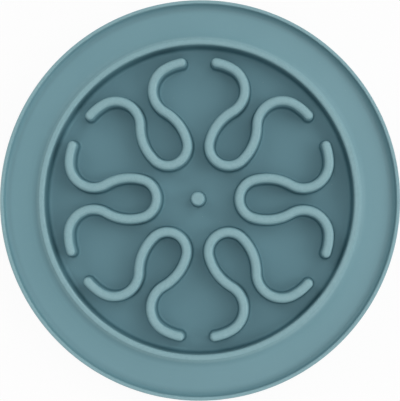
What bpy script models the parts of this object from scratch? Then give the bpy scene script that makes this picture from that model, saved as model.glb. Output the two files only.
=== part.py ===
"""Slow feeder dish: a low round dish with a wide brim, a maze of omega-shaped ridges
on the floor of its bed, a post in the middle and rubber foot pads underneath.

The axis of the dish is Z. The pads stand on Z = 0, and one ridge points along +X.
Units are metres.
"""

import math

import bmesh
import bpy
from mathutils import Matrix, Vector

# Clearance that pieces keep where they touch
SEAT_GAP = 0.0003

# Bed: the round well that holds the food
BED_RADIUS = 0.1076
BED_DEPTH = 0.0125
BED_FILLET = 0.0022
WALL_DRAFT = math.radians(4.5)
WALL_THICKNESS = 0.0024
FLOOR_THICKNESS = 0.0025

# Bead round the bed, the hollow brim that falls away from it and the lip at the edge of the brim
BEAD_WIDTH = 0.0034
BEAD_HEIGHT = 0.0030
BEAD_ROUND = 0.0014
BEAD_SKIRT = 0.0036
BRIM_BLEND = 0.0090
BRIM_WIDTH = 0.0219
BRIM_FALL = 0.0014
BRIM_SAG = 0.0007
BRIM_HOLLOW = 0.0850
LIP_WIDTH = 0.0024
LIP_HEIGHT = 0.0044
LIP_LEAN = 0.0001
LIP_ROUND = 0.00055
LIP_FILLET = 0.0012
EDGE_ROUND = 0.0042

# Ridges of the maze, all alike and evenly spread round the post
RIDGE_COUNT = 6
RIDGE_HEIGHT = 0.0120
RIDGE_WIDTH = 0.0065
RIDGE_ROUND = 0.0027
RIDGE_DRAFT = math.radians(4)

# Plan of one ridge: a loop that opens through a neck and flares out to two tips
POST_LANE = 0.0209
WALL_LANE = 0.0130
LOOP_WIDTH = 0.0226
NECK_GAP = 0.0088
LOOP_SHARE = 0.307
NECK_SHARE = 0.718
SIDE_SHARE = 0.657
TIP_RADIUS = 0.0365
TIP_TURN = math.radians(19.5)

# Post in the middle of the bed
POST_RADIUS = 0.0049
POST_HEIGHT = 0.0110
POST_ROUND = 0.0030
POST_DRAFT = math.radians(3)

# Foot pads and the collars under the floor that hold them
FOOT_COUNT = 6
FOOT_RADIUS = 0.0080
FOOT_PROUD = 0.0010
FOOT_EDGE = 0.0006
FOOT_MARGIN = 0.0099
COLLAR_HEIGHT = 0.0014
COLLAR_WALL = 0.0016

# Shares of the room on a side and on a ridge that roundings may take
SIDE_ROOM = 0.98
RIDGE_ROOM = 0.9

# Finishes: colour and roughness
MOULDING = ((0.175, 0.315, 0.352), 0.55)
FOOT_RUBBER = ((0.060, 0.105, 0.118), 0.75)

# Fineness of the facets
ROUND_STEPS = 84
SMALL_STEPS = 20
TIP_STEPS = 6
CORNER_STEP = math.radians(32)
PATH_STEP = math.radians(16)
SHARP_ANGLE = math.radians(38)

# Heights worked out from the sizes above
FLOOR_BOTTOM = FOOT_PROUD + COLLAR_HEIGHT
FLOOR_TOP = FLOOR_BOTTOM + FLOOR_THICKNESS
BEAD_TOP = FLOOR_TOP + BED_DEPTH
BRIM_TOP = BEAD_TOP - BEAD_HEIGHT
BRIM_EDGE = BRIM_TOP - BRIM_FALL
BRIM_MIDDLE = (BRIM_TOP + BRIM_EDGE) / 2 - BRIM_SAG
BRIM_BOTTOM = BRIM_EDGE - WALL_THICKNESS
LIP_TOP = BRIM_EDGE + LIP_HEIGHT


def clear_scene():
    for item in list(bpy.data.objects):
        bpy.data.objects.remove(item)


def plain_material(name, colour, roughness):
    material = bpy.data.materials.new(name)
    material.use_nodes = True
    shader = material.node_tree.nodes["Principled BSDF"]
    shader.inputs["Base Color"].default_value = (*colour, 1)
    shader.inputs["Roughness"].default_value = roughness
    shader.inputs["Metallic"].default_value = 0
    return material


def add_object(name, mesh, material=None):
    item = bpy.data.objects.new(name, mesh)
    bpy.context.scene.collection.objects.link(item)
    if material and not mesh.materials:
        mesh.materials.append(material)
    return item


def steps_for(angle, step):
    return max(1, math.ceil(abs(angle) / step - 1e-6))


def rounded(corners):
    """The outline through (r, z, radius) corners, with each corner that has a radius as an arc.

    Where a side is too short for the arcs at its two ends, both become smaller.
    """
    places = [Vector((r, z)) for r, z, _ in corners]
    sides = [after - here for here, after in zip(places, places[1:] + places[:1])]
    tangents = []
    for index, (_, _, radius) in enumerate(corners):
        tangents.append(radius * math.tan(sides[index - 1].angle(sides[index]) / 2))
    shares = []
    for index, side in enumerate(sides):
        asked = tangents[index] + tangents[(index + 1) % len(tangents)]
        shares.append(min(1, SIDE_ROOM * side.length / asked) if asked else 1)
    points = []
    for index, here in enumerate(places):
        tangent = tangents[index] * min(shares[index - 1], shares[index])
        if not tangent:
            points.append(here)
            continue
        start = here - sides[index - 1].normalized() * tangent
        end = here + sides[index].normalized() * tangent
        inward = (sides[index].normalized() - sides[index - 1].normalized()).normalized()
        turn = sides[index - 1].angle_signed(sides[index])
        centre = here + inward * tangent / math.sin(abs(turn) / 2)
        count = steps_for(turn, CORNER_STEP)
        for step in range(count + 1):
            spoke = start - centre
            spoke.rotate(Matrix.Rotation(-turn * step / count, 2))
            points.append(centre + spoke)
    return points


def turned(name, outline, steps, material=None):
    """A solid of revolution. The outline runs from the top of the axis, down the outside, to its foot."""
    mesh = bpy.data.meshes.new(name)
    edges = [(index, index + 1) for index in range(len(outline) - 1)]
    mesh.from_pydata([(point.x, 0, point.y) for point in outline], edges, [])
    item = add_object(name, mesh, material)
    screw = item.modifiers.new("Turn", "SCREW")
    screw.steps = steps
    screw.render_steps = steps
    screw.use_merge_vertices = True
    screw.merge_threshold = 0.00001
    return item


def even_shading(item):
    """Keeps flat faces flat where they run into a fillet."""
    item.modifiers.new("Even shading", "WEIGHTED_NORMAL")


def dish_outline():
    """Half section of the dish: its top from the axis out to the lip, then its underside back to the axis."""
    wall_run = math.tan(WALL_DRAFT)
    wall_across = WALL_THICKNESS / math.cos(WALL_DRAFT)
    bead_inner = BED_RADIUS + BED_DEPTH * wall_run
    bead_outer = bead_inner + BEAD_WIDTH
    brim_inner = bead_outer + BEAD_SKIRT
    brim_outer = brim_inner + BRIM_WIDTH
    lip_inner = brim_outer + LIP_LEAN
    lip_outer = lip_inner + LIP_WIDTH
    under_brim = BED_RADIUS + (BRIM_BOTTOM - FLOOR_TOP) * wall_run + wall_across
    under_floor = BED_RADIUS - FLOOR_THICKNESS * wall_run + wall_across
    return rounded([
        (0, FLOOR_TOP, 0),
        (BED_RADIUS, FLOOR_TOP, BED_FILLET),
        (bead_inner, BEAD_TOP, BEAD_ROUND),
        (bead_outer, BEAD_TOP, BEAD_ROUND),
        (brim_inner, BRIM_TOP, BRIM_BLEND),
        ((brim_inner + brim_outer) / 2, BRIM_MIDDLE, BRIM_HOLLOW),
        (brim_outer, BRIM_EDGE, LIP_FILLET),
        (lip_inner, LIP_TOP, LIP_ROUND),
        (lip_outer, LIP_TOP, LIP_ROUND),
        (lip_outer, BRIM_BOTTOM, EDGE_ROUND),
        (under_brim, BRIM_BOTTOM, BED_FILLET),
        (under_floor, FLOOR_BOTTOM, BED_FILLET),
        (0, FLOOR_BOTTOM, 0),
    ])


def foot_places():
    """Centres of the foot pads, evenly spread, with the first one half a step round from +X."""
    radius = BED_RADIUS - FOOT_MARGIN - COLLAR_WALL - SEAT_GAP - FOOT_RADIUS
    for number in range(FOOT_COUNT):
        angle = (number + 0.5) * math.tau / FOOT_COUNT
        yield Vector((radius * math.cos(angle), radius * math.sin(angle), 0))


def collar_rings():
    """The collars for all foot pads in one mesh, sunk into the floor so that they fuse with it."""
    inner = FOOT_RADIUS + SEAT_GAP
    outer = inner + COLLAR_WALL
    foot = FOOT_PROUD
    root = FLOOR_BOTTOM + FLOOR_THICKNESS / 2
    bearings = [math.tau * step / SMALL_STEPS for step in range(SMALL_STEPS)]
    shape = bmesh.new()
    for place in foot_places():
        rings = []
        for radius, height in ((inner, root), (outer, root), (outer, foot), (inner, foot)):
            rings.append([
                shape.verts.new(place + Vector((radius * math.cos(a), radius * math.sin(a), height)))
                for a in bearings
            ])
        for near, far in zip(rings, rings[1:] + rings[:1]):
            for step in range(SMALL_STEPS):
                after = (step + 1) % SMALL_STEPS
                shape.faces.new((near[step], far[step], far[after], near[after]))
    bmesh.ops.recalc_face_normals(shape, faces=shape.faces)
    mesh = bpy.data.meshes.new("foot_collars")
    shape.to_mesh(mesh)
    shape.free()
    collars = add_object("foot_collars", mesh)
    collars.hide_render = True
    collars.display_type = "WIRE"
    return collars


def make_dish(material):
    dish = turned("dish", dish_outline(), ROUND_STEPS, material)
    join = dish.modifiers.new("Foot collars", "BOOLEAN")
    join.operation = "UNION"
    join.solver = "EXACT"
    join.object = collar_rings()
    even_shading(dish)
    return dish


def half_path():
    """Middle line of half a ridge, from the nose of its loop to a tip, as points with headings.

    The nose, the widest point of the loop, the neck and the outer bend are set by the lanes and widths.
    Tangent arcs join them: a tight and a wide one round the loop, one into the neck, one out to the
    bend and one to the tip.
    """
    half = RIDGE_WIDTH / 2
    nose = POST_RADIUS + POST_LANE + half
    reach = BED_RADIUS - WALL_LANE - half - nose
    loop_run = LOOP_SHARE * reach
    leg_run = (NECK_SHARE - LOOP_SHARE) * reach
    bend_radius = (1 - NECK_SHARE) * reach
    loop_half = LOOP_WIDTH / 2 + half
    pinch = loop_half - NECK_GAP / 2 - half
    leg_radii = (leg_run**2 + pinch**2) / (2 * pinch)
    leg_turn = 2 * math.atan2(pinch, leg_run)
    side_radius = SIDE_SHARE * leg_radii
    neck_radius = leg_radii - side_radius
    nose_turn = 2 * math.atan2(side_radius - loop_run, side_radius - loop_half)
    nose_radius = side_radius - (side_radius - loop_half) / math.sin(nose_turn)

    place = Vector((nose, 0))
    heading = math.pi / 2
    path = [(place, heading)]
    for radius, turn in (
        (nose_radius, -nose_turn),
        (side_radius, nose_turn - math.pi / 2 - leg_turn),
        (neck_radius, leg_turn),
        (bend_radius, math.pi / 2),
        (TIP_RADIUS, TIP_TURN),
    ):
        side = math.copysign(math.pi / 2, turn)
        centre = place + radius * Vector((math.cos(heading + side), math.sin(heading + side)))
        count = steps_for(turn, PATH_STEP)
        for step in range(1, count + 1):
            bearing = heading + turn * step / count
            spoke = Vector((math.cos(bearing - side), math.sin(bearing - side)))
            path.append((centre + radius * spoke, bearing))
        place, heading = path[-1]
    return path


def ridge_path():
    """Middle line of a whole ridge, from one tip round the loop to the other."""
    leg = half_path()
    mirrored = [(Vector((point.x, -point.y)), math.pi - heading) for point, heading in leg[:0:-1]]
    return mirrored + leg


def ridge_levels():
    """(height, half width) of the ridge section, from its foot to the middle of its rounded top."""
    half = RIDGE_WIDTH / 2
    round_off = min(RIDGE_ROUND, RIDGE_ROOM * half)
    shoulder = FLOOR_TOP + RIDGE_HEIGHT - round_off
    foot = FLOOR_TOP + SEAT_GAP
    levels = [(foot, half + (shoulder - foot) * math.tan(RIDGE_DRAFT))]
    count = steps_for(math.pi / 2, CORNER_STEP)
    for step in range(count + 1):
        angle = step / count * math.pi / 2
        levels.append((shoulder + round_off * math.sin(angle), half - round_off * (1 - math.cos(angle))))
    return levels


def ridge_ring(shape, path, height, half_width):
    """One closed outline round the path: its right side, the far tip, its left side and the near tip."""
    spots = []
    for side, line in ((-1, path), (1, path[::-1])):
        for point, heading in line:
            spots.append((point, heading + side * math.pi / 2))
        point, heading = line[-1]
        for step in range(1, TIP_STEPS):
            spots.append((point, heading + side * math.pi / 2 + math.pi * step / TIP_STEPS))
    return [
        shape.verts.new((
            point.x + half_width * math.cos(bearing),
            point.y + half_width * math.sin(bearing),
            height,
        ))
        for point, bearing in spots
    ]


def close_ridge(shape, ring, stations):
    """Fills one outline of a ridge with a ladder of quads and a face on each tip."""
    tip = TIP_STEPS - 1
    right = ring[:stations]
    left = ring[stations + tip:2 * stations + tip][::-1]
    for index in range(stations - 1):
        shape.faces.new((right[index], right[index + 1], left[index + 1], left[index]))
    shape.faces.new((right[-1], *ring[stations:stations + tip], left[-1]))
    shape.faces.new((left[0], *ring[2 * stations + tip:], right[0]))


def ridge_mesh():
    path = ridge_path()
    shape = bmesh.new()
    rings = [ridge_ring(shape, path, height, half_width) for height, half_width in ridge_levels()]
    for low, high in zip(rings, rings[1:]):
        for index in range(len(low)):
            after = (index + 1) % len(low)
            shape.faces.new((low[index], low[after], high[after], high[index]))
    close_ridge(shape, rings[0], len(path))
    close_ridge(shape, rings[-1], len(path))
    bmesh.ops.recalc_face_normals(shape, faces=shape.faces)
    mesh = bpy.data.meshes.new("maze_ridge")
    shape.to_mesh(mesh)
    shape.free()
    mesh.shade_smooth()
    mesh.set_sharp_from_angle(angle=SHARP_ANGLE)
    return mesh


def make_ridges(dish, material):
    mesh = ridge_mesh()
    for number in range(RIDGE_COUNT):
        ridge = add_object(f"maze_ridge_{number + 1}", mesh, material)
        ridge.rotation_euler.z = number * math.tau / RIDGE_COUNT
        ridge.parent = dish
        even_shading(ridge)


def make_post(dish, material):
    top = FLOOR_TOP + POST_HEIGHT
    foot = FLOOR_TOP + SEAT_GAP
    outline = rounded([
        (0, top, 0),
        (POST_RADIUS, top, POST_ROUND),
        (POST_RADIUS + (top - foot) * math.tan(POST_DRAFT), foot, 0),
        (0, foot, 0),
    ])
    post = turned("centre_post", outline, SMALL_STEPS, material)
    post.parent = dish
    even_shading(post)


def make_foot_pads(dish, material):
    top = FLOOR_BOTTOM - SEAT_GAP
    outline = rounded([
        (0, top, 0),
        (FOOT_RADIUS, top, FOOT_EDGE),
        (FOOT_RADIUS, 0, FOOT_EDGE),
        (0, 0, 0),
    ])
    for number, place in enumerate(foot_places()):
        pad = turned(f"foot_pad_{number + 1}", outline, SMALL_STEPS, material)
        pad.location = place
        pad.parent = dish
        even_shading(pad)


def main():
    clear_scene()
    moulding = plain_material("moulding", *MOULDING)
    rubber = plain_material("foot_rubber", *FOOT_RUBBER)
    dish = make_dish(moulding)
    make_ridges(dish, moulding)
    make_post(dish, moulding)
    make_foot_pads(dish, rubber)


main()
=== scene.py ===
import math

import bmesh
import bpy
from mathutils import Matrix, Vector
from mathutils.geometry import delaunay_2d_cdt


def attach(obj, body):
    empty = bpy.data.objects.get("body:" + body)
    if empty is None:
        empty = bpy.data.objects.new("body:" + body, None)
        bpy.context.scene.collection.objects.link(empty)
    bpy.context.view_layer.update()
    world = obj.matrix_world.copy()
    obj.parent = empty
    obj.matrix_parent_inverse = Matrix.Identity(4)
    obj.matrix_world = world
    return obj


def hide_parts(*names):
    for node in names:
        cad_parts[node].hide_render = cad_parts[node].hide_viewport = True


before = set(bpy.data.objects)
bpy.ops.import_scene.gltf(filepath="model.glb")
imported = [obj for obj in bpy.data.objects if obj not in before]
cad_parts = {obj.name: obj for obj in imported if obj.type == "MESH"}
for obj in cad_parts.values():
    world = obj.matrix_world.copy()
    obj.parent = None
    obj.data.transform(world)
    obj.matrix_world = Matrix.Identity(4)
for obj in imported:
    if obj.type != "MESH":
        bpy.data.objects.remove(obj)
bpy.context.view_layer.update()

print("frame: %d nodes" % len(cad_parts))

mm = 0.001
turn = math.tau

# fineness of the meshes, shared by all pieces
mesh = {
    "roundSteps": 240,              # facets round the dish
    "smallSteps": 64,               # facets round the post, pads and collars
    "cornerStep": math.radians(9),  # facets along a rounded edge
    "pathStep": math.radians(4),    # facets along a ridge
    "tipSteps": 28,                 # facets round the end of a ridge
    "hold": 0.2 * mm,               # row of points that keeps a flat face flat beside its rounding
    "sideStep": 6 * mm,             # longest facet along a straight side
    "slack": 1e-6,                  # allowed for rounding errors
    "weld": 1e-7,                   # points this close are one, or lie on the axis
    "sunk": 0.02 * mm,              # how far the feet of ridges and post go into the floor
    "sharp": math.radians(40),      # edges that turn more than this stay sharp
}


def arcPoints(centre, spoke, sweep, step):
    count = max(1, math.ceil(abs(sweep) / step - mesh["slack"]))
    return [centre + Matrix.Rotation(sweep * n / count, 2) @ spoke for n in range(count + 1)]


def softened(corners):
    # corners are (r, z, rounding); every rounding becomes an arc that is tangent to both sides
    spots = [Vector(corner[:2]) for corner in corners]
    line = []
    for n, corner in enumerate(corners):
        here, rounding = spots[n], corner[2]
        if not rounding:
            line.append([here])
            continue
        back = (spots[n - 1] - here).normalized()
        ahead = (spots[(n + 1) % len(spots)] - here).normalized()
        halfAngle = back.angle(ahead) / 2
        run = rounding / math.tan(halfAngle)
        start = here + back * run
        centre = here + (back + ahead).normalized() * rounding / math.sin(halfAngle)
        end = here + ahead * run
        sweep = (end - centre).angle_signed(start - centre)
        line.append(arcPoints(centre, start - centre, sweep, mesh["cornerStep"]))
    points = list(line[0])
    for arc in line[1:]:
        points += heldSide(points[-1], arc[0]) + arc
    return points


def heldSide(start, end):
    # points on a straight side, with one close to each of its ends
    run = (end - start).length
    hold = mesh["hold"]
    if run < 4 * hold:      # too short to need them
        return []
    count = max(1, math.ceil((run - 2 * hold) / mesh["sideStep"]))
    shares = [(hold + (run - 2 * hold) * n / count) / run for n in range(count + 1)]
    return [start.lerp(end, share) for share in shares]


def aroundSpot(spot, radius, bearing, height):
    return Vector((spot.x + radius * math.cos(bearing), spot.y + radius * math.sin(bearing), height))


def ringAt(bm, spot, radius, height, steps):
    return [bm.verts.new(aroundSpot(spot, radius, turn * n / steps, height)) for n in range(steps)]


def bridge(bm, low, high):
    for n in range(len(low)):
        after = (n + 1) % len(low)
        bm.faces.new((low[n], low[after], high[after], high[n]))


def turnedRings(bm, outline, steps, spot=Vector((0, 0))):
    # rings of points for an outline, bridged in order; a point on the axis closes the shape with a fan
    rings = []
    for point in outline:
        if point.x < mesh["weld"]:
            rings.append([bm.verts.new((spot.x, spot.y, point.y))])
        else:
            rings.append(ringAt(bm, spot, point.x, point.y, steps))
    for low, high in zip(rings, rings[1:]):
        if len(low) == 1 or len(high) == 1:
            tip, ring = (low[0], high) if len(low) == 1 else (high[0], low)
            for n in range(len(ring)):
                bm.faces.new((tip, ring[n], ring[(n + 1) % len(ring)]))
        else:
            bridge(bm, low, high)
    return rings


def finishedMesh(bm, name):
    bmesh.ops.recalc_face_normals(bm, faces=bm.faces)
    data = bpy.data.meshes.new(name)
    bm.to_mesh(data)
    bm.free()
    data.shade_smooth()
    data.set_sharp_from_angle(angle=mesh["sharp"])
    return data


def addObject(name, data, material):
    made = bpy.data.objects.new(name, data)
    bpy.context.scene.collection.objects.link(made)
    data.materials.append(material)
    return made


def addPiece(name, data, material, node):
    piece = addObject(name, data, material)
    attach(piece, "root")
    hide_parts(node)
    print("piece: %s, %d faces" % (name, len(data.polygons)))


noiseMiddle = 0.5   # mean of a noise


class Wire:
    # one socket of a node tree; expressions on it add nodes
    def __init__(self, tree, socket=None):
        self.tree = tree
        self.socket = socket

    def node(self, kind, settings=None, sockets=None, output=0):
        made = self.tree.nodes.new(kind)
        for key, value in (settings or {}).items():
            setattr(made, key, value)
        for key, value in (sockets or {}).items():
            if isinstance(value, Wire):
                self.tree.links.new(value.socket, made.inputs[key])
            else:
                made.inputs[key].default_value = value
        return Wire(self.tree, made.outputs[output] if len(made.outputs) else None)

    def maths(self, operation, first, second):
        return self.node("ShaderNodeMath", {"operation": operation}, {0: first, 1: second})

    def __add__(self, other):
        return self.maths("ADD", self, other)

    def __radd__(self, other):
        return self.maths("ADD", other, self)

    def __sub__(self, other):
        return self.maths("SUBTRACT", self, other)

    def __rsub__(self, other):
        return self.maths("SUBTRACT", other, self)

    def __mul__(self, other):
        return self.maths("MULTIPLY", self, other)

    def __rmul__(self, other):
        return self.maths("MULTIPLY", other, self)

    def __gt__(self, other):
        return self.maths("GREATER_THAN", self, other)

    def __lt__(self, other):
        return self.maths("LESS_THAN", self, other)

    def __abs__(self):
        return self.maths("ABSOLUTE", self, 0)

    def most(self, other):
        return self.maths("MAXIMUM", self, other)

    def ramp(self, low, high):
        # 0 below low, 1 above high, smooth between
        sockets = {"Value": self, "From Min": low, "From Max": high}
        return self.node("ShaderNodeMapRange", {"interpolation_type": "SMOOTHSTEP"}, sockets)

    def blend(self, first, second):
        # colour between two others, with this value as the share of the second
        sockets = {0: self, 6: first, 7: second}    # this node's colours are sockets 6 and 7, its result is 2
        return self.node("ShaderNodeMix", {"data_type": "RGBA"}, sockets, 2)

    def noise(self, scale, detail, roughness):
        sockets = {"Vector": self, "Scale": scale, "Detail": detail, "Roughness": roughness}
        return self.node("ShaderNodeTexNoise", {}, sockets)

    def swing(self, amount):
        # a noise about its middle
        return (self - noiseMiddle) * amount

    def fromAxis(self):
        # distance of a place from the axis of the dish
        level = self.node("ShaderNodeVectorMath", {"operation": "MULTIPLY"}, {0: self, 1: (1, 1, 0)})
        return self.node("ShaderNodeVectorMath", {"operation": "LENGTH"}, {0: level}, "Value")


def newFinish(name):
    material = bpy.data.materials.new(name)
    material.use_nodes = True
    tree = material.node_tree
    tree.nodes.clear()
    return material, Wire(tree)


def closeFinish(start, shader):
    start.node("ShaderNodeOutputMaterial", {}, {"Surface": shader})


satin = {
    "deep": (0.174, 0.333, 0.380, 1),
    "mid": (0.190, 0.355, 0.403, 1),
    "sunk": (0.131, 0.262, 0.307, 1),         # painted shade: darker colour low in the bed, standing in for the shade of the recess
    "paintedShade": (0.035, 0.113, 0.142, 1),      # painted shade: low on the steep sides and in the corner of the bed, where shade falls
    "sheenTone": (0.287, 0.476, 0.516, 1),         # painted sheen: paler colour on the raised tops, standing in for the gloss highlight there
    "speck": (0.42, 0.52, 0.54, 1),
    "ior": 1.45,
    "gloss": 0.25,                            # a dull moulding grade, half the gloss of clear plastic
    # noises, as scale, detail and roughness
    "drift": (11, 3.0, 0.55),                 # slow change of the pigment
    "grain": (1500, 2.0, 0.6),                # fine texture of the mould
    "peel": (170, 1.0, 0.5),                  # faint waviness under the gloss
    "scuff": (420, 4.0, 0.65),
    "driftTone": 1.3,
    "grainTone": 0.5,
    "toneSpan": (0.1, 0.9),
    # bed: distances from the axis, heights, and shares of the normal that point up
    "bedEdge": (108.7 * mm, 109.3 * mm),
    "bedDeep": (3.2 * mm, 4.4 * mm),          # the underside lies below this
    "bedShadeSpan": (5.0 * mm, 13.0 * mm),
    "steepSpan": (0.5, 0.995),
    "steepShare": 0.64,
    "cornerSpan": (105.8 * mm, 107.7 * mm),   # painted shade on the floor grows from here to the wall
    "cornerShare": 0.65,
    "wallShadeFade": (11 * mm, 16.6 * mm),        # it fades out between these heights on the wall of the bed
    "sideShadeFade": (7.5 * mm, 14 * mm),         # and between these on the other steep sides
    # a little painted shade also inside the lip, in the corner at its foot
    "lipNear": (131.3 * mm, 135.8 * mm),
    "lipFace": (137.7 * mm, 138.3 * mm),
    "lipDeep": (11.6 * mm, 12.6 * mm),
    "lipShadeFade": (14.6 * mm, 16.6 * mm),
    "lipShare": 0.26,
    # painted sheen on the raised tops
    "sheenSpan": (15.0 * mm, 16.4 * mm),
    "sheenShare": 0.8,
    "sheenLeast": 0.55,                         # of that share, where the scuff noise is low
    "sheenPatch": 0.9,                          # what the scuff noise adds to it
    "rimLess": 0.15,                          # bead and lip get less painted sheen than the ridges
    # specks of pigment
    "speckScale": 330,
    "speckRare": 0.955,
    "speckSpan": (0.045, 0.075),              # in cells
    "speckShare": 0.7,
    # gloss and relief
    "roughness": 0.33,
    "roughSpread": 0.14,
    "scuffRough": 0.1,
    "sheenPolish": 0.05,
    "sunkDull": 0.32,                         # the floor of the bed is duller than the rest
    "grainRelief": 0.7,
    "peelRelief": 0.6,
    "reliefDepth": 0.05 * mm,
    "reliefShare": 0.35,
}


def bedShade(look, reach, height, upward):
    # painted shade in the corner of the bed and up its wall, and low on other steep sides
    corner = reach.ramp(*look["cornerSpan"]) * (1 - height.ramp(*look["wallShadeFade"]))
    steep = (1 - abs(upward).ramp(*look["steepSpan"])) * (1 - height.ramp(*look["sideShadeFade"]))
    return (corner * look["cornerShare"]).most(steep * look["steepShare"])


# painted shade in the corner inside the lip
def lipShade(look, reach, height):
    inside = reach.ramp(*look["lipNear"]) * (1 - reach.ramp(*look["lipFace"]))
    low = height.ramp(*look["lipDeep"]) * (1 - height.ramp(*look["lipShadeFade"]))
    return inside * low * look["lipShare"]


def pigmentSpecks(look, place):
    cell = {"Vector": place, "Scale": look["speckScale"]}
    near = place.node("ShaderNodeTexVoronoi", {}, cell, "Distance")
    pick = place.node("ShaderNodeTexVoronoi", {}, cell, "Color")
    rare = place.node("ShaderNodeSeparateColor", {}, {"Color": pick}, "Red")
    return (rare > look["speckRare"]) * (1 - near.ramp(*look["speckSpan"])) * look["speckShare"]


def satinPlastic():
    look = satin
    material, start = newFinish("satin_plastic")
    place = start.node("ShaderNodeTexCoord", output="Object")
    facing = start.node("ShaderNodeTexCoord", output="Normal")
    height = start.node("ShaderNodeSeparateXYZ", {}, {"Vector": place}, "Z")
    upward = start.node("ShaderNodeSeparateXYZ", {}, {"Vector": facing}, "Z")
    reach = place.fromAxis()
    drift = place.noise(*look["drift"])
    grain = place.noise(*look["grain"])
    peel = place.noise(*look["peel"])
    scuff = place.noise(*look["scuff"])

    tone = noiseMiddle + drift.swing(look["driftTone"]) + grain.swing(look["grainTone"])
    colour = tone.ramp(*look["toneSpan"]).blend(look["deep"], look["mid"])
    outside = reach.ramp(*look["bedEdge"])
    inBed = (1 - outside) * height.ramp(*look["bedDeep"])
    # painted shade: the floor of the bed and its low sides take a darker colour, standing in for the shade of
    # the recess
    sunk = (1 - height.ramp(*look["bedShadeSpan"])) * inBed
    colour = sunk.blend(colour, look["sunk"])
    # painted shade: darker colour in the corner of the bed, low on steep sides and inside the lip
    paintedShade = bedShade(look, reach, height, upward) * inBed + lipShade(look, reach, height)
    colour = paintedShade.blend(colour, look["paintedShade"])
    # painted sheen: the raised tops turn paler in patches, standing in for the gloss highlight; the same mask
    # lowers the roughness there
    patch = look["sheenLeast"] + scuff * look["sheenPatch"]
    sheenMask = height.ramp(*look["sheenSpan"]) * patch * (look["sheenShare"] - outside * look["rimLess"])
    colour = sheenMask.blend(colour, look["sheenTone"])
    colour = pigmentSpecks(look, place).blend(colour, look["speck"])

    rough = look["roughness"] + drift.swing(look["roughSpread"]) + grain.swing(look["roughSpread"])
    rough = rough + scuff.swing(look["scuffRough"]) - sheenMask * look["sheenPolish"] + sunk * look["sunkDull"]
    relief = grain * look["grainRelief"] + peel * look["peelRelief"]
    bump = start.node("ShaderNodeBump", {}, {
        "Height": relief, "Strength": look["reliefShare"], "Distance": look["reliefDepth"],
    })
    closeFinish(start, start.node("ShaderNodeBsdfPrincipled", {}, {
        "Base Color": colour, "Roughness": rough, "Normal": bump,
        "IOR": look["ior"], "Specular IOR Level": look["gloss"],
    }))
    print("finish: satin plastic")
    return material


rubber = {
    "deep": (0.048, 0.088, 0.100, 1),
    "mid": (0.072, 0.120, 0.134, 1),
    "dusty": (0.150, 0.185, 0.192, 1),
    "ior": 1.48,
    # noises, as scale, detail and roughness
    "grain": (1900, 3.0, 0.65),
    "blotch": (190, 4.0, 0.6),
    "blotchTone": 1.2,
    "grainTone": 0.6,
    "toneSpan": (0.1, 0.9),
    # dust is picked up where the pad stands
    "dustHeight": (0.05 * mm, 0.8 * mm),
    "dustPatch": (0.42, 0.72),
    "dustShare": 0.6,
    "roughness": 0.74,
    "grainRough": 0.2,
    "dustRough": 0.1,
    "grainDepth": 0.09 * mm,
    "grainShare": 0.5,
}


def footRubber():
    look = rubber
    material, start = newFinish("foot_rubber")
    place = start.node("ShaderNodeTexCoord", output="Object")
    height = start.node("ShaderNodeSeparateXYZ", {}, {"Vector": place}, "Z")
    grain = place.noise(*look["grain"])
    blotch = place.noise(*look["blotch"])
    tone = noiseMiddle + blotch.swing(look["blotchTone"]) + grain.swing(look["grainTone"])
    colour = tone.ramp(*look["toneSpan"]).blend(look["deep"], look["mid"])
    dust = (1 - height.ramp(*look["dustHeight"])) * blotch.ramp(*look["dustPatch"]) * look["dustShare"]
    colour = dust.blend(colour, look["dusty"])
    rough = look["roughness"] + grain.swing(look["grainRough"]) + dust * look["dustRough"]
    bump = start.node("ShaderNodeBump", {}, {
        "Height": grain, "Strength": look["grainShare"], "Distance": look["grainDepth"],
    })
    closeFinish(start, start.node("ShaderNodeBsdfPrincipled", {}, {
        "Base Color": colour, "Roughness": rough, "Normal": bump, "IOR": look["ior"],
    }))
    print("finish: foot rubber")
    return material


# bed, bead, brim and lip in one moulding, with a collar for each foot pad
dishSizes = {
    "bedRadius": 107.6 * mm,
    "bedCorner": 3.0 * mm,          # fillet where the wall meets the floor
    "bedFillet": 2.2 * mm,          # the same on the underside
    "floorRim": 1.5 * mm,           # flat ring inside that fillet
    "wallDraft": math.radians(4.5),
    "wallThickness": 2.4 * mm,
    "floorBottom": 2.4 * mm,
    "floorTop": 4.9 * mm,
    "beadTop": 17.4 * mm,
    "beadWidth": 3.4 * mm,
    "beadRound": 1.4 * mm,
    "beadSkirt": 3.6 * mm,          # run of the bead's outer flank
    "brimBlend": 9.0 * mm,          # hollow from the flank into the brim
    "brimTop": 14.4 * mm,           # where it leaves the bead
    "brimFall": 1.4 * mm,           # drop from there to the lip
    "brimSag": 0.7 * mm,            # shallow hollow of the brim
    "brimHollow": 85 * mm,          # radius of that hollow
    "brimBottom": 10.6 * mm,
    "brimWidth": 21.9 * mm,
    "lipTop": 17.4 * mm,
    "lipLean": 0.1 * mm,            # outwards, from foot to top
    "lipWidth": 2.4 * mm,
    "lipRound": 0.55 * mm,
    "lipFillet": 3.5 * mm,          # from the brim up into the lip
    "edgeRound": 4.2 * mm,          # outer edge, under the lip
    "collarInner": 8.3 * mm,
    "collarOuter": 9.9 * mm,
    "collarFoot": 1.0 * mm,         # height of its lower end
    "collarRound": 0.35 * mm,
    "collarCove": 0.45 * mm,
    "footCircle": 87.8 * mm,        # radius of the ring of pads
    "feet": 6,
}


def footSpots():
    size = dishSizes
    for n in range(size["feet"]):
        angle = turn * (n + 0.5) / size["feet"]
        yield size["footCircle"] * Vector((math.cos(angle), math.sin(angle)))


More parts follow.
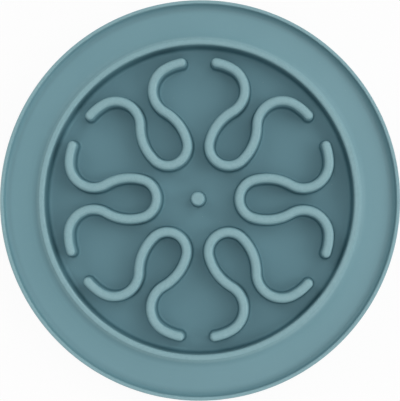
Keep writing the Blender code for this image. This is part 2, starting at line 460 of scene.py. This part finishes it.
def dishSection():
    # section from the middle of the bed over the bead and lip to the flat ring under the floor
    size = dishSizes
    slope = math.tan(size["wallDraft"])
    across = size["wallThickness"] / math.cos(size["wallDraft"])
    beadInner = size["bedRadius"] + (size["beadTop"] - size["floorTop"]) * slope
    beadOuter = beadInner + size["beadWidth"]
    brimInner = beadOuter + size["beadSkirt"]
    brimOuter = brimInner + size["brimWidth"]
    lipInner = brimOuter + size["lipLean"]
    lipOuter = lipInner + size["lipWidth"]
    underBrim = size["bedRadius"] + (size["brimBottom"] - size["floorTop"]) * slope + across
    underFloor = size["bedRadius"] - (size["floorTop"] - size["floorBottom"]) * slope + across
    brimMiddle = (brimInner + brimOuter) / 2
    brimDip = size["brimTop"] - size["brimFall"] / 2 - size["brimSag"]
    return softened([
        (0, size["floorTop"], 0),
        (size["bedRadius"], size["floorTop"], size["bedCorner"]),
        (beadInner, size["beadTop"], size["beadRound"]),
        (beadOuter, size["beadTop"], size["beadRound"]),
        (brimInner, size["brimTop"], size["brimBlend"]),
        (brimMiddle, brimDip, size["brimHollow"]),
        (brimOuter, size["brimTop"] - size["brimFall"], size["lipFillet"]),
        (lipInner, size["lipTop"], size["lipRound"]),
        (lipOuter, size["lipTop"], size["lipRound"]),
        (lipOuter, size["brimBottom"], size["edgeRound"]),
        (underBrim, size["brimBottom"], size["bedFillet"]),
        (underFloor, size["floorBottom"], size["bedFillet"]),
        (underFloor - size["bedFillet"] - size["floorRim"], size["floorBottom"], 0),
    ])


def collarSection():
    # down the outside of a collar, round its foot and up to the middle of its pocket
    size = dishSizes
    return softened([
        (size["collarOuter"] + size["collarCove"] + mesh["hold"], size["floorBottom"], 0),
        (size["collarOuter"], size["floorBottom"], size["collarCove"]),
        (size["collarOuter"], size["collarFoot"], size["collarRound"]),
        (size["collarInner"], size["collarFoot"], size["collarRound"]),
        (size["collarInner"], size["floorBottom"], size["collarCove"] / 2),
        (0, size["floorBottom"], 0),
    ])


def closeUnderside(bm, rims):
    # the flat underside between the wall and the collars, as triangles on the points that are there
    verts, owners, edges = [], [], []
    for owner, rim in enumerate(rims):
        first = len(verts)
        edges += [(first + n, first + (n + 1) % len(rim)) for n in range(len(rim))]
        verts += rim
        owners += [owner] * len(rim)
    spots = [vert.co.xy for vert in verts]
    triangles = delaunay_2d_cdt(spots, edges, [], 0, mesh["weld"])[2]
    for face in triangles:
        touched = {owners[n] for n in face}
        if len(touched) > 1 or touched == {0}:  # three points of one collar lie across its pocket
            bm.faces.new([verts[n] for n in face])


def makeDish(material):
    bm = bmesh.new()
    rims = [turnedRings(bm, dishSection(), mesh["roundSteps"])[-1]]
    for spot in footSpots():
        rims.append(turnedRings(bm, collarSection(), mesh["smallSteps"], spot)[0])
    closeUnderside(bm, rims)
    addPiece("dish_moulding", finishedMesh(bm, "dish_moulding"), material, "dish")


# post in the middle of the bed
postSizes = {
    "radius": 4.9 * mm,
    "height": 11.0 * mm,
    "topRound": 1.6 * mm,
    "draft": math.radians(3),
    "cove": 1.0 * mm,
}


def makePost(material):
    size = postSizes
    floor = dishSizes["floorTop"]
    top = floor + size["height"]
    foot = size["radius"] + size["height"] * math.tan(size["draft"])
    sunk = floor - mesh["sunk"]
    line = softened([
        (0, top, 0),
        (size["radius"], top, size["topRound"]),
        (foot, floor, size["cove"]),
        (foot + 2 * size["cove"], floor, 0),
    ])
    edge = foot + size["cove"]
    line = [point for point in line if point.x < edge + mesh["slack"]]
    line += [Vector((edge, sunk)), Vector((0, sunk))]
    bm = bmesh.new()
    turnedRings(bm, line, mesh["smallSteps"])
    addPiece("post", finishedMesh(bm, "post"), material, "centre_post")


# ridges of the maze
ridgeSizes = {
    "count": 6,
    "width": 6.5 * mm,              # across the top, where the rounding starts
    "height": 12.0 * mm,
    "topRound": 2.7 * mm,
    "draft": math.radians(4),
    "cove": 2.0 * mm,               # fillet where the ridge meets the floor
    "postLane": 20.9 * mm,          # from the post to the nose of the loop
    "wallLane": 13.0 * mm,          # from the outer bend to the wall of the bed
    "loopWidth": 22.6 * mm,
    "neckGap": 8.8 * mm,
    "loopShare": 0.307,             # where the loop is widest, along its reach
    "neckShare": 0.718,             # where the neck is
    "sideShare": 0.657,             # radius of the loop's side, of its sum with the neck's
    "tipRadius": 36.5 * mm,         # last stretch, towards a tip
    "tipTurn": math.radians(19.5),
}


def halfPath():
    # middle line from the nose of the loop through the neck and round the outer bend to a tip
    size = ridgeSizes
    half = size["width"] / 2
    nose = postSizes["radius"] + size["postLane"] + half
    reach = dishSizes["bedRadius"] - size["wallLane"] - half - nose
    loopRun = size["loopShare"] * reach
    legRun = (size["neckShare"] - size["loopShare"]) * reach
    loopHalf = size["loopWidth"] / 2 + half
    pinch = loopHalf - size["neckGap"] / 2 - half
    legRadii = (legRun**2 + pinch**2) / (2 * pinch)
    legTurn = 2 * math.atan2(pinch, legRun)
    sideRadius = size["sideShare"] * legRadii
    noseTurn = 2 * math.atan2(sideRadius - loopRun, sideRadius - loopHalf)
    noseRadius = sideRadius - (sideRadius - loopHalf) / math.sin(noseTurn)
    arcs = (
        (noseRadius, -noseTurn),
        (sideRadius, noseTurn - math.pi / 2 - legTurn),
        (legRadii - sideRadius, legTurn),
        ((1 - size["neckShare"]) * reach, math.pi / 2),
        (size["tipRadius"], size["tipTurn"]),
    )
    place, heading = Vector((nose, 0)), math.pi / 2
    path = [(place, heading)]
    for radius, sweep in arcs:
        side = math.copysign(math.pi / 2, sweep)
        spoke = radius * Vector((math.cos(heading - side), math.sin(heading - side)))
        line = arcPoints(place - spoke, spoke, sweep, mesh["pathStep"])
        count = len(line) - 1
        path += [(line[n], heading + sweep * n / count) for n in range(1, count + 1)]
        place, heading = path[-1]
    return path


def ridgeSection():
    # half of the section, from the foot of the cove to the middle of the top, as (half width, height)
    size = ridgeSizes
    half = size["width"] / 2
    floor = dishSizes["floorTop"]
    top = floor + size["height"]
    footHalf = half + (size["height"] - size["topRound"]) * math.tan(size["draft"])
    line = softened([
        (footHalf + 2 * size["cove"], floor, 0),
        (footHalf, floor, size["cove"]),
        (half, top, size["topRound"]),
        (0, top, 0),
    ])
    edge = footHalf + size["cove"] + mesh["slack"]
    start = next(n for n, point in enumerate(line) if point.x < edge)
    foot = [Vector((line[start].x, floor - mesh["sunk"]))]
    return foot + line[start:-1]


def ridgeOutline(path, offset, height):
    # closed line round the path: right side, far tip, left side, near tip
    spots = []
    for side, line in ((-1, path), (1, path[::-1])):
        spots += [(point, heading + side * math.pi / 2) for point, heading in line]
        point, heading = line[-1]
        first = heading + side * math.pi / 2
        steps = mesh["tipSteps"]
        spots += [(point, first + math.pi * n / steps) for n in range(1, steps)]
    return [aroundSpot(point, offset, bearing, height) for point, bearing in spots]


def capRidge(bm, ring, stations):
    tip = mesh["tipSteps"] - 1
    right = ring[:stations]
    left = ring[stations + tip:2 * stations + tip][::-1]
    for n in range(stations - 1):
        bm.faces.new((right[n], right[n + 1], left[n + 1], left[n]))
    bm.faces.new((right[-1], *ring[stations:stations + tip], left[-1]))
    bm.faces.new((left[0], *ring[2 * stations + tip:], right[0]))


def makeRidges(material):
    leg = halfPath()
    mirrored = [(Vector((point.x, -point.y)), math.pi - heading) for point, heading in leg[:0:-1]]
    path = mirrored + leg
    for number in range(ridgeSizes["count"]):
        spin = Matrix.Rotation(turn * number / ridgeSizes["count"], 3, "Z")
        bm = bmesh.new()
        rings = []
        for point in ridgeSection():
            rings.append([bm.verts.new(spin @ spot) for spot in ridgeOutline(path, point.x, point.y)])
        for low, high in zip(rings, rings[1:]):
            bridge(bm, low, high)
        capRidge(bm, rings[0], len(path))
        capRidge(bm, rings[-1], len(path))
        name = "ridge_%d" % (number + 1)
        addPiece(name, finishedMesh(bm, name), material, "maze_ridge_%d" % (number + 1))


# rubber pads in the collars
padSizes = {
    "radius": 8.0 * mm,
    "top": 2.1 * mm,
    "edgeRound": 0.6 * mm,
    "ringWidth": 1.4 * mm,          # raised ring that the pad stands on
    "dish": 0.35 * mm,              # how far its middle is hollowed
}


def makeFootPads(material):
    size = padSizes
    inner = size["radius"] - size["edgeRound"] - size["ringWidth"]
    line = softened([
        (0, size["top"], 0),
        (size["radius"], size["top"], size["edgeRound"] / 2),
        (size["radius"], 0, size["edgeRound"]),
        (inner, 0, size["edgeRound"] / 2),
        (inner - 2 * size["dish"], size["dish"], size["edgeRound"] / 2),
        (0, size["dish"], 0),
    ])
    for n, spot in enumerate(footSpots()):
        bm = bmesh.new()
        turnedRings(bm, line, mesh["smallSteps"], spot)
        name = "pad_%d" % (n + 1)
        addPiece(name, finishedMesh(bm, name), material, "foot_pad_%d" % (n + 1))


stageLook = {
    "floorDrop": 0.05 * mm,         # just under the pads
    "floorSide": 14.0,
    "floorColour": (0.9, 0.9, 0.9, 1),
    "white": (1, 1, 1, 1),
    "whiteLevel": 1.0,
    "whiteShare": 0.94,             # share of plain white that the camera sees on the floor
    "ambient": 0.24,
}

# soft lamps far off: name, bearing and height in degrees, how wide it looks in degrees, level
lamps = [
    ("overhead", 90, 89, 30, 0.131),
    ("key", 45, 62, 30, 0.081),
    ("right", 0, 32, 30, 0.210),
    ("back", 45, 32, 30, 0.158),
    ("left", 135, 32, 30, 0.135),
    ("front", 270, 62, 30, 0.074),
    ("corner", 315, 20, 30, 0.126),
]

cameraLook = {
    "place": (44.7 * mm, -32.4 * mm, 702.2 * mm),
    "target": (1.70 * mm, -1.32 * mm, 16.9 * mm),
    "roll": 0.0034,                 # in radians
    "lens": 88.62,                  # this and the sensor in mm
    "sensor": 36.0,
}


def whiteForCamera(start):
    direct = start.node("ShaderNodeLightPath", output="Is Camera Ray")
    glossy = start.node("ShaderNodeLightPath", output="Is Glossy Ray")
    through = start.node("ShaderNodeLightPath", output="Is Transmission Ray")
    return direct.most(glossy).most(through)


def makeFloor():
    look = stageLook
    side = look["floorSide"] / 2
    bm = bmesh.new()
    corners = ((-1, -1), (1, -1), (1, 1), (-1, 1))
    bm.faces.new([bm.verts.new((x * side, y * side, -look["floorDrop"])) for x, y in corners])
    material, start = newFinish("floor_white")
    matte = start.node("ShaderNodeBsdfDiffuse", {}, {"Color": look["floorColour"]})
    glow = start.node("ShaderNodeEmission", {}, {"Color": look["white"], "Strength": look["whiteLevel"]})
    share = whiteForCamera(start) * look["whiteShare"]
    white = start.node("ShaderNodeMixShader", {}, {0: share, 1: matte, 2: glow})
    # clear from below, so that the underside shows
    clear = start.node("ShaderNodeBsdfTransparent")
    below = start.node("ShaderNodeNewGeometry", output="Backfacing")
    closeFinish(start, start.node("ShaderNodeMixShader", {}, {0: below, 1: white, 2: clear}))
    addObject("floor", finishedMesh(bm, "floor"), material)
    print("floor: %g m across" % look["floorSide"])


def makeLight():
    look = stageLook
    world = bpy.data.worlds.new("studio")
    bpy.context.scene.world = world
    world.use_nodes = True
    world.node_tree.nodes.clear()
    start = Wire(world.node_tree)
    soft = start.node("ShaderNodeBackground", {}, {"Color": look["white"], "Strength": look["ambient"]})
    white = start.node("ShaderNodeBackground", {}, {"Color": look["white"], "Strength": look["whiteLevel"]})
    mix = start.node("ShaderNodeMixShader", {}, {0: whiteForCamera(start), 1: soft, 2: white})
    start.node("ShaderNodeOutputWorld", {}, {"Surface": mix})
    for name, bearing, height, width, level in lamps:
        data = bpy.data.lights.new(name, "SUN")
        data.energy = math.pi * level   # at level 1 a face that looks at the lamp shows its colour as written
        data.angle = math.radians(width)
        lamp = bpy.data.objects.new(name, data)
        raised = math.radians(height)
        towards = aroundSpot(Vector((0, 0)), math.cos(raised), math.radians(bearing), math.sin(raised))
        lamp.location = towards
        lamp.rotation_euler = towards.to_track_quat("Z", "Y").to_euler()
        bpy.context.scene.collection.objects.link(lamp)
    bpy.context.scene.view_settings.view_transform = "Standard"
    print("light: %d lamps" % len(lamps))


def makeCamera():
    look = cameraLook
    place, target = Vector(look["place"]), Vector(look["target"])
    back = (place - target).normalized()
    right = Vector((math.cos(look["roll"]), math.sin(look["roll"]), 0))
    right = (right - back * right.dot(back)).normalized()
    up = back.cross(right)
    data = bpy.data.cameras.new("camera")
    data.lens = look["lens"]
    data.sensor_width = look["sensor"]
    data.sensor_fit = "HORIZONTAL"
    camera = bpy.data.objects.new("camera", data)
    camera.matrix_world = Matrix.Translation(place) @ Matrix((right, up, back)).transposed().to_4x4()
    bpy.context.scene.collection.objects.link(camera)
    bpy.context.scene.camera = camera
    print("camera: %.0f mm lens" % look["lens"])


makeCamera()
makeLight()
makeFloor()
plastic = satinPlastic()
padRubber = footRubber()
makeDish(plastic)
makeRidges(plastic)
makePost(plastic)
makeFootPads(padRubber)
